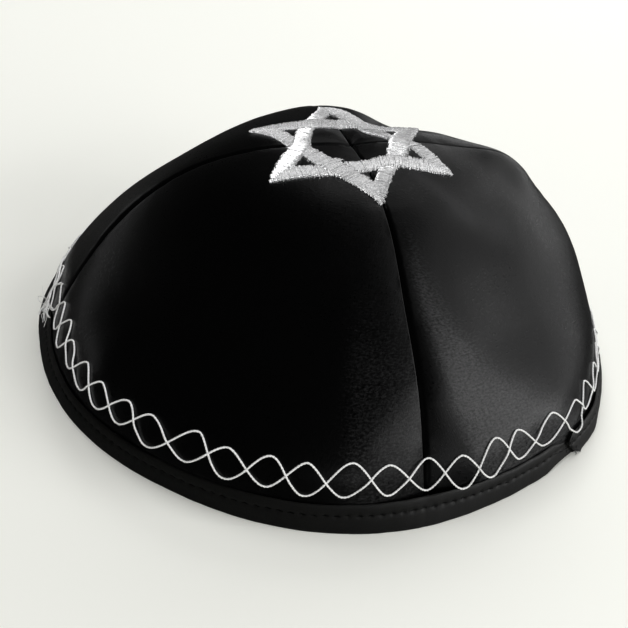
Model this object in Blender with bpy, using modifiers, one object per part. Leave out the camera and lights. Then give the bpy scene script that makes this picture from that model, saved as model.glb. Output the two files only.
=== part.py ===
"""Satin kippah: four sewn panels, a folded rim binding with its overlapping
end, and an embroidered six-pointed star over the crossing of the seams.

World frame: +Z up, the rim stands on z = 0, the front seam points to -Y.
Azimuths are degrees counter-clockwise from the front seam, seen from above.
A level is the share of the way down the cloth, 0 at the seam crossing on top
and 1 at the foot of the rim. Sizes are millimetres unless a name says metres.
"""
import math
from collections import namedtuple

import bmesh
import bpy
import numpy as np
from mathutils import Vector

MM = 0.001

# ---------------------------------------------------------------- sizes
PANEL_WALL = 1.2        # satin, interfacing and backing together
PANEL_COLUMNS = 15      # facets across a panel
SEAM_GAP = 0.7          # between neighbouring panels
PANEL_ROWS_FREE = 15    # facets from the top down to where the binding begins
PANEL_TUCK_START = 0.905  # level where the cloth starts to step in
PANEL_TUCK_END = 0.925    # level where it is fully under the binding
PANEL_FOOT = 0.972        # level of the cloth's hidden lower edge

BAND_TOP = 0.930        # level of the binding's outer top edge (8 mm deep)
BAND_INNER_TOP = 0.940
BAND_LEG = 1.0          # thickness of each leg of the folded binding
BAND_PROUD = 0.3        # how far it stands out over the panels
BAND_CLEAR = 0.3        # play between the binding and the cloth it holds
BAND_FLOOR = 0.985      # level of the bottom of the groove
BAND_STEPS = 120

END_AZIMUTH = 36.5      # cut edge of the binding's overlapping end, at its top
END_SLANT = 2.5         # degrees that the cut slants back, down to the foot
END_LENGTH = 13.0       # degrees of rim that the overlap covers
END_WALL = 0.8
END_CLEAR = 0.3

STAR_RADIUS = 28.0      # crossing of the seams to a point of the star
STAR_BAR = 4.7          # width of each embroidered bar
STAR_OFF = (1.5, -0.7)  # its middle lies a little to the front and the left
STAR_WALL = 0.8
STAR_CLEAR = 0.3
STAR_CELL = 4.5         # facet size of the draped star

# ---------------------------------------------------------------- form
# The cap's even profile, from the top to the foot.
ProfileRow = namedtuple("ProfileRow", "radius height")
PROFILE = [ProfileRow(*r) for r in (
    (0, 58.65), (10, 58.6), (20.9, 57.9), (30, 56.4), (39.1, 53.8), (46.6, 50.0),
    (54.3, 44.3), (62.3, 36.1), (69.6, 25.9), (74.8, 16), (78.3, 7.5), (81.0, 0))]

# How the real cloth departs from it at the seams and mid panels: the radius of
# the foot, and the bulge (+) or hollow (-) at four levels.
StationRow = namedtuple("StationRow", "azimuth foot_radius at_30 at_50 at_70 at_87")
STATIONS = [StationRow(*r) for r in (
    (0, 77.8, -1.2, -4.0, -1.3, 0.2),       # front seam
    (45, 79.1, -0.1, -3.4, -3.1, 0.6),
    (90, 84.3, 1.0, 1.0, 2.1, -1.5),        # right seam
    (135, 79.6, -0.4, -4.2, -2.3, 1.1),
    (180, 79.2, -0.6, 0.4, 0.8, -0.4),      # back seam
    (225, 81.4, 0.6, -3.4, -2.2, -0.1),
    (270, 82.9, 0.4, 0.0, -0.8, -1.0),      # left seam
    (315, 78.8, -0.1, -3.3, -2.9, 3.8))]
STATION_LEVELS = (0.0, 0.30, 0.50, 0.70, 0.87, 1.0)

# Each seam's foot is drawn sideways by this many degrees.
SeamRow = namedtuple("SeamRow", "azimuth sweep")
SEAMS = [SeamRow(*r) for r in ((0, 2.0), (90, -1.4), (180, 0.7), (270, -1.1))]

# Waves of the rim, in and out.
RippleRow = namedtuple("RippleRow", "azimuth out")
RIPPLES = [RippleRow(*r) for r in (
    (0, 0.0), (22.5, -0.7), (45, 0.9), (67.5, -0.6), (90, 0.6), (112.5, -0.2),
    (135, 0.0), (157.5, 0.0), (180, 0.0), (202.5, 0.1), (225, -0.2), (247.5, 2.3),
    (270, -0.5), (292.5, -0.4), (315, -0.3), (337.5, 0.6))]

# Soft dents (-) and swells (+) in the crown.
FoldRow = namedtuple("FoldRow", "azimuth level half_width half_length height")
FOLDS = [FoldRow(*r) for r in (
    (135, 0.33, 15, 0.12, -4.2),
    (90, 0.42, 9, 0.07, 2.8),
    (165, 0.26, 21, 0.07, 1.1),
    (68, 0.73, 22, 0.14, -0.3),
    (229, 0.34, 24, 0.13, -2.3))]


# ---------------------------------------------------------------- curves
def smooth(knots, values, x, period=None):
    """Cubic curve through (knots, values) read at x; closed if period is set."""
    k = np.asarray(knots, float)
    v = np.asarray(values, float)
    x = np.asarray(x, float)
    flat = v.ndim == 1
    if flat:
        v = v[:, None]
    if period:
        x = (x - k[0]) % period + k[0]
        k = np.append(k, k[0] + period)
        v = np.concatenate([v, v[:1]])
    n = len(k)
    h = np.diff(k)
    d = np.diff(v, axis=0) / h[:, None]
    a = np.zeros((n, n))
    b = np.zeros((n, v.shape[1]))
    for i in range(1, n - 1):
        a[i, i - 1:i + 2] = h[i - 1], 2 * (h[i - 1] + h[i]), h[i]
        b[i] = 6 * (d[i] - d[i - 1])
    if period:
        a[0, 0], a[0, -1] = 1, -1
        a[-1, 0], a[-1, 1], a[-1, -2], a[-1, -1] = 2 * h[0], h[0], h[-1], 2 * h[-1]
        b[-1] = 6 * (d[0] - d[-1])
    else:
        a[0, 0] = a[-1, -1] = 1
    m = np.linalg.solve(a, b)
    i = np.clip(np.searchsorted(k, x, side="right") - 1, 0, n - 2)
    t = (x - k[i])[..., None]
    w = h[i][..., None]
    y = (v[i] + t * (d[i] - w * (2 * m[i] + m[i + 1]) / 6)
         + t ** 2 * m[i] / 2 + t ** 3 * (m[i + 1] - m[i]) / (6 * w))
    return y[..., 0] if flat else y


def meridian(count=400):
    """The even profile by level: radius, height, outward normal, and its length."""
    rows = [(-PROFILE[1].radius, PROFILE[1].height)] + [tuple(r) for r in PROFILE]
    pts = np.array(rows)
    walk = np.append(0, np.cumsum(np.hypot(*np.diff(pts, axis=0).T)))
    line = smooth(walk, pts, np.linspace(walk[1], walk[-1], count))
    walk = np.append(0, np.cumsum(np.hypot(*np.diff(line, axis=0).T)))
    level = np.linspace(0, 1, count)
    r, z = (np.interp(level * walk[-1], walk, line[:, i]) for i in (0, 1))
    dr, dz = np.gradient(r), np.gradient(z)
    size = np.hypot(dr, dz)
    return level, r, z, -dz / size, dr / size, walk[-1]


LEVEL, RADIUS, HEIGHT, NORMAL_R, NORMAL_Z, CLOTH_LENGTH = meridian()
FOOT_RADIUS = PROFILE[-1].radius
BULGES = np.array([[0, r.at_30, r.at_50, r.at_70, r.at_87, 0] for r in STATIONS], float)


def cap(azimuth, level, depth=0.0):
    """Points of the cap's outer face, or depth inside it. Arrays of one length."""
    az = np.asarray(azimuth, float)
    s = np.asarray(level, float)
    foot = smooth([r.azimuth for r in STATIONS], [r.foot_radius for r in STATIONS], az, 360)
    wave = smooth([r.azimuth for r in RIPPLES], [r.out for r in RIPPLES], az, 360)
    sweep = smooth([r.azimuth for r in SEAMS], [r.sweep for r in SEAMS], az, 360)
    # Across a panel the form runs from seam to seam, with a crease at each.
    bulge = smooth(STATION_LEVELS, BULGES.T, s)
    seam = np.floor(az / 90).astype(int) % 4
    u = (az / 90) % 1
    rows = np.arange(len(s))
    first, last, mid = (bulge[rows, c] for c in (2 * seam, (2 * seam + 2) % 8, 2 * seam + 1))
    ease = u * u * (3 - 2 * u)
    out = (1 - ease) * first + ease * last + np.sin(math.pi * u) * (mid - (first + last) / 2)
    for f in FOLDS:
        away = (az - f.azimuth + 180) % 360 - 180
        out = out + f.height * np.exp(-0.5 * (away / f.half_width) ** 2
                                      - 0.5 * ((s - f.level) / f.half_length) ** 2)
    out = out - depth
    nr, nz = np.interp(s, LEVEL, NORMAL_R), np.interp(s, LEVEL, NORMAL_Z)
    r = (np.interp(s, LEVEL, RADIUS) * (1 + (foot / FOOT_RADIUS - 1) * s ** 1.5)
         + wave * s ** 4 + out * nr)
    z = np.interp(s, LEVEL, HEIGHT) + out * nz
    a = np.radians(az + sweep * s ** 2)
    return np.stack([r * np.sin(a), -r * np.cos(a), z], -1)


# ---------------------------------------------------------------- scene
for old in list(bpy.data.objects):
    bpy.data.objects.remove(old, do_unlink=True)

kippah = bpy.data.collections.new("kippah")
bpy.context.scene.collection.children.link(kippah)


def material(name, color, roughness):
    mat = bpy.data.materials.new(name)
    mat.use_nodes = True
    bsdf = mat.node_tree.nodes["Principled BSDF"]
    bsdf.inputs["Base Color"].default_value = (*color, 1)
    bsdf.inputs["Roughness"].default_value = roughness
    bsdf.inputs["Metallic"].default_value = 0.0
    return mat


BLACK_SATIN = (0.008, 0.008, 0.009)
BLACK_BINDING = (0.012, 0.012, 0.012)
SILVER_THREAD = (0.62, 0.62, 0.63)

# Everything hangs on one empty, which puts the rim's middle over the origin.
rim = cap(np.arange(BAND_STEPS) * 360 / BAND_STEPS, np.ones(BAND_STEPS), -BAND_PROUD)
middle = (rim.min(0) + rim.max(0)) / 2
stand = bpy.data.objects.new("stand_point", None)
stand.location = (-middle[0] * MM, -middle[1] * MM, 0)
kippah.objects.link(stand)


def place(name, bm, mat):
    mesh = bpy.data.meshes.new(name)
    bm.to_mesh(mesh)
    bm.free()
    mesh.materials.append(mat)
    obj = bpy.data.objects.new(name, mesh)
    kippah.objects.link(obj)
    obj.parent = stand
    mesh.shade_smooth()
    mesh.set_sharp_from_angle(angle=math.radians(35))
    return obj


def patch(columns, rows, form):
    """A grid whose (u, v), each 0 to 1, is carried onto form(u, v)."""
    bm = bmesh.new()
    bmesh.ops.create_grid(bm, x_segments=columns, y_segments=rows, size=1.0)
    verts = list(bm.verts)
    uv = np.array([(v.co.x, v.co.y) for v in verts]) / 2 + 0.5
    for v, p in zip(verts, form(uv[:, 0], uv[:, 1])):
        v.co = Vector(p) * MM
    bmesh.ops.remove_doubles(bm, verts=bm.verts, dist=0.00002)
    return bm


def solidify(obj, thickness):
    mod = obj.modifiers.new("wall", "SOLIDIFY")
    mod.thickness = thickness * MM
    mod.offset = -1
    mod.use_even_offset = True
    return mod


# ---------------------------------------------------------------- panels
PANEL_LEVELS = np.append(
    np.linspace(0, PANEL_TUCK_START, PANEL_ROWS_FREE + 1),
    [PANEL_TUCK_END, (PANEL_TUCK_END + PANEL_FOOT) / 2, PANEL_FOOT])
TUCK_DEPTH = BAND_LEG - BAND_PROUD + BAND_CLEAR


def panel(name, first_seam):
    along = [Vector((math.sin(a), -math.cos(a), 0))
             for a in (math.radians(first_seam), math.radians(first_seam + 90))]

    def form(u, v):
        s = np.interp(v * (len(PANEL_LEVELS) - 1), np.arange(len(PANEL_LEVELS)), PANEL_LEVELS)
        depth = TUCK_DEPTH * np.clip((s - PANEL_TUCK_START)
                                     / (PANEL_TUCK_END - PANEL_TUCK_START), 0, 1)
        # The last seam belongs to this panel, so its azimuth stays just short.
        pts = cap(first_seam + np.clip(u, 0, 1 - 1e-9) * 90, s, depth)
        # Half the seam gap is left on both sides; mid panel keeps its place.
        moves = []
        for d in along:
            reach = pts @ np.array(d)
            share = np.clip(1 - reach / (FOOT_RADIUS / math.sqrt(2)), 0, 1)
            moves.append(np.outer(SEAM_GAP / 2 * share, d))
        return pts + moves[0] + moves[1]

    bm = patch(PANEL_COLUMNS, len(PANEL_LEVELS) - 1, form)
    bm.normal_update()
    if sum(f.normal.z for f in bm.faces) < 0:
        bmesh.ops.reverse_faces(bm, faces=bm.faces)
    obj = place(name, bm, material(name + "_satin", BLACK_SATIN, 0.42))
    solidify(obj, PANEL_WALL)
    return obj


panel("panel_front_right", 0)
panel("panel_back_right", 90)
panel("panel_back_left", 180)
panel("panel_front_left", 270)

# ---------------------------------------------------------------- binding
# Section of the folded binding, as (level, depth), round the cloth's edge.
INNER_FACE = BAND_LEG - BAND_PROUD + 2 * BAND_CLEAR + PANEL_WALL
SectionRow = namedtuple("SectionRow", "level depth")
SECTION = [SectionRow(*r) for r in (
    (1.0, -BAND_PROUD),
    (0.965, -BAND_PROUD),
    (BAND_TOP, -BAND_PROUD),
    (BAND_TOP, BAND_LEG - BAND_PROUD),
    (BAND_FLOOR, BAND_LEG - BAND_PROUD),
    (BAND_FLOOR, INNER_FACE),
    (BAND_INNER_TOP, INNER_FACE),
    (BAND_INNER_TOP, INNER_FACE + BAND_LEG),
    (1.0, INNER_FACE + BAND_LEG))]


def band_form(u, v):
    turn = (u * 360) % 360
    corner = np.round(v * len(SECTION)).astype(int) % len(SECTION)
    s = np.array([r.level for r in SECTION])[corner]
    d = np.array([r.depth for r in SECTION])[corner]
    pts = cap(turn, s, d)
    pts[s == 1.0, 2] = 0.0          # the fold lies flat on what it rests on
    return pts


bm = patch(BAND_STEPS, len(SECTION), band_form)
bmesh.ops.recalc_face_normals(bm, faces=bm.faces)
place("rim_band", bm, material("rim_band_satin", BLACK_BINDING, 0.5))


def end_form(u, v):
    """The overlap: a strip just outside the binding, from its top to near its foot."""
    s = BAND_TOP + 0.002 + v * (0.994 - BAND_TOP - 0.002)
    turn = END_AZIMUTH + END_SLANT * v * (1 - u) + u * END_LENGTH
    return cap(turn, s, -BAND_PROUD - END_CLEAR - END_WALL)


bm = patch(6, 3, end_form)
bm.normal_update()
if sum(f.normal.dot(f.calc_center_median()) for f in bm.faces) < 0:
    bmesh.ops.reverse_faces(bm, faces=bm.faces)
solidify(place("band_end", bm, material("band_end_satin", BLACK_BINDING, 0.5)), END_WALL)

# ---------------------------------------------------------------- star
# Two interlaced triangles, drawn flat: outline, middle and the six small gaps.
INSIDE = STAR_RADIUS / 2 - STAR_BAR      # bar's inner edge from the middle


def ray(degrees, length, side=0.0):
    a = math.radians(degrees)
    return (length * math.cos(a) - side * math.sin(a), length * math.sin(a) + side * math.cos(a))


outline = []
for i in range(6):
    outline += [ray(60 * i, STAR_RADIUS), ray(60 * i + 30, STAR_RADIUS / math.sqrt(3))]
loops = [outline, [ray(60 * i + 30, INSIDE / math.cos(math.pi / 6)) for i in range(6)]]
for i in range(6):
    half = (2 * INSIDE - STAR_RADIUS / 2) * math.tan(math.pi / 6)
    loops.append([ray(60 * i, 2 * INSIDE),
                  ray(60 * i, STAR_RADIUS / 2, half), ray(60 * i, STAR_RADIUS / 2, -half)])

curve = bpy.data.curves.new("star_outline", "CURVE")
curve.dimensions = "2D"
curve.fill_mode = "BOTH"
curve.extrude = STAR_WALL / 2 * MM
for loop in loops:
    spline = curve.splines.new("POLY")
    spline.points.add(len(loop) - 1)
    for p, (x, y) in zip(spline.points, loop):
        p.co = (x * MM, y * MM, 0, 1)
    spline.use_cyclic_u = True
drawn = bpy.data.objects.new("star_outline", curve)
kippah.objects.link(drawn)
bpy.context.view_layer.update()
flat = bpy.data.meshes.new_from_object(
    drawn.evaluated_get(bpy.context.evaluated_depsgraph_get()))
bpy.data.objects.remove(drawn, do_unlink=True)

bm = bmesh.new()
bm.from_mesh(flat)
bmesh.ops.remove_doubles(bm, verts=bm.verts, dist=0.00002)
# Cut into cells, with a cut along each seam, so that it can follow the cloth.
cells = int(STAR_RADIUS // STAR_CELL) + 1
for axis, off in (((1, 0, 0), STAR_OFF[0]), ((0, 1, 0), STAR_OFF[1])):
    for i in range(-cells, cells + 1):
        bmesh.ops.bisect_plane(
            bm, geom=list(bm.verts) + list(bm.edges) + list(bm.faces), dist=1e-7,
            plane_co=Vector(axis) * ((i * STAR_CELL - off) * MM), plane_no=axis)
bmesh.ops.triangulate(bm, faces=[f for f in bm.faces if len(f.verts) > 4])
# The flat drawing has a point along +X; on the cap that point faces the front.
verts = list(bm.verts)
xyz = np.array([v.co[:] for v in verts]) / MM + np.array([*STAR_OFF, 0.0])
spot = cap(np.degrees(np.arctan2(xyz[:, 1], xyz[:, 0])) % 360,
           np.hypot(xyz[:, 0], xyz[:, 1]) / CLOTH_LENGTH,
           -(STAR_CLEAR + STAR_WALL / 2 + xyz[:, 2]))
for v, p in zip(verts, spot):
    v.co = Vector(p) * MM
bmesh.ops.recalc_face_normals(bm, faces=bm.faces)
place("star_embroidery", bm, material("star_silver_thread", SILVER_THREAD, 0.35))
bpy.data.meshes.remove(flat)
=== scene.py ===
"""Looks of the satin kippah: fine cloth panels with rolled seams, the folded and
stitched rim binding with its overlapping cut end, the white wave stitch, the
interlaced star in satin stitch, the loose thread ends, the light and the camera.

Azimuths are degrees counter-clockwise from the front seam (-Y) seen from above,
a level is the share of the way down the cloth (0 on top, 1 at the foot), and
lengths are millimetres until they become mesh points.
"""
import math
from collections import namedtuple

import bpy
import numpy as np
from mathutils import Matrix, Vector


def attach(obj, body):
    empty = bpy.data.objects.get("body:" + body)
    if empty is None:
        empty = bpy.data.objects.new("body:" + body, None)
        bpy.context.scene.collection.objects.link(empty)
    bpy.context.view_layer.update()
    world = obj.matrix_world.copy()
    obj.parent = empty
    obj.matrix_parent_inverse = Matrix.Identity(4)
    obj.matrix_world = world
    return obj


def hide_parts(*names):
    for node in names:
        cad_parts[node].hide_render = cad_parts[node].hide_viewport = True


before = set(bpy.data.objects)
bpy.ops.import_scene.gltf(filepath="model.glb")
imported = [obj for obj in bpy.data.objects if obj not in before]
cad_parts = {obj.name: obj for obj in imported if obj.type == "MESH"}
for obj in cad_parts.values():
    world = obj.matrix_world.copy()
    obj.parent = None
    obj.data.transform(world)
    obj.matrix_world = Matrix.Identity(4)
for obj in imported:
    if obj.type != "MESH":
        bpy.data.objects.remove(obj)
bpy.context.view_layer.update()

MM = 0.001
rng = np.random.default_rng(7)

# ------------------------------------------------------------------ form
ProfileRow = namedtuple("ProfileRow", "radius height")
PROFILE = [ProfileRow(*r) for r in (
    (0, 58.65), (10, 58.6), (20.9, 57.9), (30, 56.4), (39.1, 53.8), (46.6, 50.0),
    (54.3, 44.3), (62.3, 36.1), (69.6, 25.9), (74.8, 16), (78.3, 7.5), (81.0, 0))]

StationRow = namedtuple("StationRow", "azimuth foot_radius at_30 at_50 at_70 at_87")
STATIONS = [StationRow(*r) for r in (
    (0, 77.8, -1.2, -4.0, -1.3, 0.2),
    (45, 79.1, -0.1, -3.4, -3.1, 0.6),
    (90, 84.3, 1.0, 1.0, 2.1, -1.5),
    (135, 79.6, -0.4, -4.2, -2.3, 1.1),
    (180, 79.2, -0.6, 0.4, 0.8, -0.4),
    (225, 81.4, 0.6, -3.4, -2.2, -0.1),
    (270, 82.9, 0.4, 0.0, -0.8, -1.0),
    (315, 78.8, -0.1, -3.3, -2.9, 3.8))]
STATION_LEVELS = (0.0, 0.30, 0.50, 0.70, 0.87, 1.0)

SeamRow = namedtuple("SeamRow", "azimuth sweep")
SEAMS = [SeamRow(*r) for r in ((0, 2.0), (90, -1.4), (180, 0.7), (270, -1.1))]

RippleRow = namedtuple("RippleRow", "azimuth out")
RIPPLES = [RippleRow(*r) for r in (
    (0, 0.0), (22.5, -0.7), (45, 0.9), (67.5, -0.6), (90, 0.6), (112.5, -0.2),
    (135, 0.0), (157.5, 0.0), (180, 0.0), (202.5, 0.1), (225, -0.2), (247.5, 2.3),
    (270, -0.5), (292.5, -0.4), (315, -0.3), (337.5, 0.6))]

FoldRow = namedtuple("FoldRow", "azimuth level half_width half_length height")
FOLDS = [FoldRow(*r) for r in (
    (135, 0.33, 15, 0.12, -4.2),
    (90, 0.42, 9, 0.07, 2.8),
    (165, 0.26, 21, 0.07, 1.1),
    (68, 0.73, 22, 0.14, -0.3),
    (229, 0.34, 24, 0.13, -2.3))]

# Small folds and puckers that are too fine for the solid model.
FINE_FOLDS = [FoldRow(*r) for r in (
    (9.5, 0.90, 1.6, 0.04, 0.25),
    (118, 0.31, 13, 0.06, 0.9),
    (-62, 0.80, 3.0, 0.05, 0.5),
    (-71, 0.86, 2.0, 0.04, -0.35),
    (-56, 0.87, 1.6, 0.03, -0.25),
    (34, 0.86, 2.5, 0.035, 0.3),
    (26, 0.89, 1.8, 0.03, -0.25))]

# How deep the stitching draws the cloth in along each seam, to either side. The
# front seam lies deepest near its foot: the right panel rolls over it, the left
# one slopes down to it.
GutterRow = namedtuple("GutterRow",
                       "azimuth before before_width after after_width level length straight")
GUTTERS = [GutterRow(*r) for r in (
    (0, 0.22, 3.2, 0.22, 3.2, 0.5, 9.0, 0),
    (90, 0.22, 3.2, 0.22, 3.2, 0.5, 9.0, 0),
    (180, 0.22, 3.2, 0.22, 3.2, 0.5, 9.0, 0),
    (270, 0.22, 3.2, 0.22, 3.2, 0.5, 9.0, 0),
    (0, 1.25, 13.0, 0.0, 4.0, 0.80, 0.20, 1),
    (0, 0.0, 4.0, 0.90, 3.2, 0.66, 0.13, 0),
    (0, 0.0, 4.0, 1.25, 7.0, 0.85, 0.16, 0))]

# Soft crease lines: from (azimuth, level) to (azimuth, level).
CreaseRow = namedtuple("CreaseRow", "az0 level0 az1 level1 half_width height")
CREASES = [CreaseRow(*r) for r in (
    (-30, 0.30, -36, 0.62, 4.0, 0.12),
    (120, 0.55, 128, 0.80, 2.5, 0.2),
    (205, 0.45, 212, 0.75, 3.0, 0.2))]


# Painted sheen beside the front seam: the satin's colour is painted paler and speckled where it reflects
# light, on the right panel below a line through these places, and on the left panel up to a few degrees from
# the seam.
SheenRow = namedtuple("SheenRow", "azimuth level")
SHEEN_LINE = [SheenRow(*r) for r in (
    (2, 0.27), (4, 0.33), (7, 0.39), (8.5, 0.45), (12, 0.53), (16, 0.605), (21, 0.69),
    (28.5, 0.775), (39, 0.858), (46, 0.95))]
SHEEN_LEFT = -15.2        # azimuth of its edge on the left panel

# Painted highlight streaks: the satin's colour is painted a little paler along them than around them.
StreakRow = namedtuple("StreakRow", "az0 level0 az1 level1 half_width strength")
STREAKS = [StreakRow(*r) for r in (
    (32.4, 0.20, 34.2, 0.325, 1.5, 0.8),
    (34.4, 0.335, 43, 0.405, 4.0, 0.6))]

# How the panels' edges turn down into the seams: over what width, how deep, how
# sharply. At the front and the left seam one side rolls over the other, and the
# rolls narrow towards the crown.
RollRow = namedtuple("RollRow", "seam side width depth power")
PLAIN_ROLL = RollRow(None, 0, 0.90, 0.85, 3.0)
ROLLS = [RollRow(*r) for r in (
    (0, 1, 1.5, 1.15, 1.8),
    (0, -1, 0.35, 0.85, 3.0),
    (270, 1, 2.2, 1.25, 1.8),
    (270, -1, 1.7, 1.25, 2.0))]


def smooth(knots, values, x, period=None):
    """Cubic curve through (knots, values) read at x; closed if period is set."""
    k = np.asarray(knots, float)
    v = np.asarray(values, float)
    x = np.asarray(x, float)
    flat = v.ndim == 1
    if flat:
        v = v[:, None]
    if period:
        x = (x - k[0]) % period + k[0]
        k = np.append(k, k[0] + period)
        v = np.concatenate([v, v[:1]])
    n = len(k)
    h = np.diff(k)
    d = np.diff(v, axis=0) / h[:, None]
    a = np.zeros((n, n))
    b = np.zeros((n, v.shape[1]))
    for i in range(1, n - 1):
        a[i, i - 1:i + 2] = h[i - 1], 2 * (h[i - 1] + h[i]), h[i]
        b[i] = 6 * (d[i] - d[i - 1])
    if period:
        a[0, 0], a[0, -1] = 1, -1
        a[-1, 0], a[-1, 1], a[-1, -2], a[-1, -1] = 2 * h[0], h[0], h[-1], 2 * h[-1]
        b[-1] = 6 * (d[0] - d[-1])
    else:
        a[0, 0] = a[-1, -1] = 1
    m = np.linalg.solve(a, b)
    i = np.clip(np.searchsorted(k, x, side="right") - 1, 0, n - 2)
    t = (x - k[i])[..., None]
    w = h[i][..., None]
    y = (v[i] + t * (d[i] - w * (2 * m[i] + m[i + 1]) / 6)
         + t ** 2 * m[i] / 2 + t ** 3 * (m[i + 1] - m[i]) / (6 * w))
    return y[..., 0] if flat else y


def meridian(count=600):
    rows = [(-PROFILE[1].radius, PROFILE[1].height)] + [tuple(r) for r in PROFILE]
    pts = np.array(rows)
    walk = np.append(0, np.cumsum(np.hypot(*np.diff(pts, axis=0).T)))
    line = smooth(walk, pts, np.linspace(walk[1], walk[-1], count))
    walk = np.append(0, np.cumsum(np.hypot(*np.diff(line, axis=0).T)))
    level = np.linspace(0, 1, count)
    r, z = (np.interp(level * walk[-1], walk, line[:, i]) for i in (0, 1))
    dr, dz = np.gradient(r), np.gradient(z)
    size = np.hypot(dr, dz)
    return level, r, z, -dz / size, dr / size, walk[-1]


LEVEL, RADIUS, HEIGHT, NORMAL_R, NORMAL_Z, LENGTH = meridian()
FOOT_RADIUS = PROFILE[-1].radius
BULGES = np.array([[0, r.at_30, r.at_50, r.at_70, r.at_87, 0] for r in STATIONS], float)


def turn(a):
    """An azimuth difference brought to -180..180."""
    return (a + 180) % 360 - 180


def cap(azimuth, level, out_by=0.0):
    """Points of the cap's outer face, moved out by out_by."""
    az, s = np.broadcast_arrays(np.asarray(azimuth, float), np.asarray(level, float))
    shape = az.shape
    az, s = az.ravel(), s.ravel()
    foot = smooth([r.azimuth for r in STATIONS], [r.foot_radius for r in STATIONS], az, 360)
    wave = smooth([r.azimuth for r in RIPPLES], [r.out for r in RIPPLES], az, 360)
    sweep = smooth([r.azimuth for r in SEAMS], [r.sweep for r in SEAMS], az, 360)
    bulge = smooth(STATION_LEVELS, BULGES.T, s)
    seam = np.floor(az / 90).astype(int) % 4
    u = (az / 90) % 1
    rows = np.arange(len(s))
    first, last, mid = (bulge[rows, c] for c in (2 * seam, (2 * seam + 2) % 8, 2 * seam + 1))
    ease = u * u * (3 - 2 * u)
    out = (1 - ease) * first + ease * last + np.sin(math.pi * u) * (mid - (first + last) / 2)
    for f in FOLDS:
        out = out + f.height * np.exp(-0.5 * (turn(az - f.azimuth) / f.half_width) ** 2
                                      - 0.5 * ((s - f.level) / f.half_length) ** 2)
    out = out + np.broadcast_to(out_by, shape).ravel()
    nr, nz = np.interp(s, LEVEL, NORMAL_R), np.interp(s, LEVEL, NORMAL_Z)
    r = (np.interp(s, LEVEL, RADIUS) * (1 + (foot / FOOT_RADIUS - 1) * s ** 1.5)
         + wave * s ** 4 + out * nr)
    z = np.interp(s, LEVEL, HEIGHT) + out * nz
    a = np.radians(az + sweep * s ** 2)
    return np.stack([r * np.sin(a), -r * np.cos(a), z], -1).reshape(shape + (3,))


def waves(count, length, seed):
    """Directions, turns and phases of a soft random ripple in space."""
    g = np.random.default_rng(seed)
    d = g.normal(size=(count, 3))
    d /= np.linalg.norm(d, axis=1)[:, None]
    return d * (2 * math.pi / length) * g.uniform(0.7, 1.4, (count, 1)), g.uniform(0, 6.28, count)


SOFT = [(waves(7, 34, 1), 0.10), (waves(9, 15, 2), 0.035), (waves(9, 7, 3), 0.010)]


def fine(az, s, pts):
    """Fine relief of the cloth, in mm outward."""
    out = np.zeros(az.shape)
    flat = pts.reshape(-1, 3)
    for (k, phase), size in SOFT:
        out += (size * np.sin(flat @ k.T + phase).sum(1) / math.sqrt(len(phase))).reshape(az.shape)
    out *= 1 - 0.6 * np.exp(-(s / 0.12) ** 2)
    reach = np.maximum(np.interp(s, LEVEL, RADIUS), 1.5)
    for q in GUTTERS:
        x = np.radians(turn(az - q.azimuth)) * reach
        side = np.where(x < 0, q.before_width, q.after_width)
        deep = np.where(x < 0, q.before, q.after)
        if q.straight:
            dip = np.clip(1 - np.abs(x) / side, 0, 1) ** 1.2
        else:
            dip = np.exp(-(np.abs(x) / side) ** 1.5)
        out -= deep * dip * np.exp(-0.5 * ((s - q.level) / q.length) ** 2)
    for f in FINE_FOLDS:
        out += f.height * np.exp(-0.5 * (turn(az - f.azimuth) / f.half_width) ** 2
                                 - 0.5 * ((s - f.level) / f.half_length) ** 2)
    r = np.interp(s, LEVEL, RADIUS)
    for c in CREASES:
        t = np.clip((s - c.level0) / (c.level1 - c.level0), 0, 1)
        across = np.radians(turn(az - (c.az0 + t * turn(c.az1 - c.az0)))) * r
        past = np.maximum(0, np.maximum(c.level0 - s, s - c.level1)) * LENGTH
        out += c.height * np.exp(-0.5 * (across / c.half_width) ** 2 - 0.5 * (past / 6) ** 2)
    return out


def painted_sheen(az, s):
    """How much painted sheen lightens the cloth, 0 to 1. It passes 0.5 at the zone's edge."""
    az = turn(az)
    places = np.array([(math.radians(q.azimuth) * float(np.interp(q.level, LEVEL, RADIUS)),
                        q.level * LENGTH) for q in SHEEN_LINE])
    x = np.radians(az) * np.interp(s, LEVEL, RADIUS)
    y = s * LENGTH
    line = np.interp(x, places[:, 0], places[:, 1])
    steep = np.interp(x, places[:, 0], np.gradient(places[:, 1], places[:, 0]))
    right = (y - line) / np.hypot(1, steep) / 7.0 + 0.5
    fold = np.interp(s, (0.40, 0.55, 0.72, 0.85, 0.93), (0.5, 2.0, 5.0, 9.0, 12.5))
    right = np.clip(right, 0, 1) * np.clip((58 - az) / 10, 0, 1) * np.clip((x - fold) / 4.0, 0, 1)
    right = np.where(az > 0, right, 0)
    left = (az - SHEEN_LEFT) * 1.1 / 5.0 + 0.5
    left = np.where(az < 0, np.clip(left, 0, 1) * 0.52 * np.clip((s - 0.40) / 0.25, 0, 1), 0)
    return right + left


def painted_streak(az, s):
    """How strongly a painted highlight streak lightens the cloth, 0 to 1."""
    r = np.interp(s, LEVEL, RADIUS)
    out = np.zeros(az.shape)
    for c in STREAKS:
        t = np.clip((s - c.level0) / (c.level1 - c.level0), 0, 1)
        across = np.radians(turn(az - (c.az0 + t * turn(c.az1 - c.az0)))) * r
        past = np.maximum(0, np.maximum(c.level0 - s, s - c.level1)) * LENGTH
        out += c.strength * np.exp(-0.5 * (across / c.half_width) ** 2 - 0.5 * (past / 3.5) ** 2)
    return np.clip(out, 0, 1)


# The empty that the solids hang on puts the middle of the rim over the origin.
rim = cap(np.arange(120) * 3.0, np.ones(120), 0.3)
MIDDLE = (rim.min(0) + rim.max(0)) / 2
SHIFT = np.array([-MIDDLE[0], -MIDDLE[1], 0.0])


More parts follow.
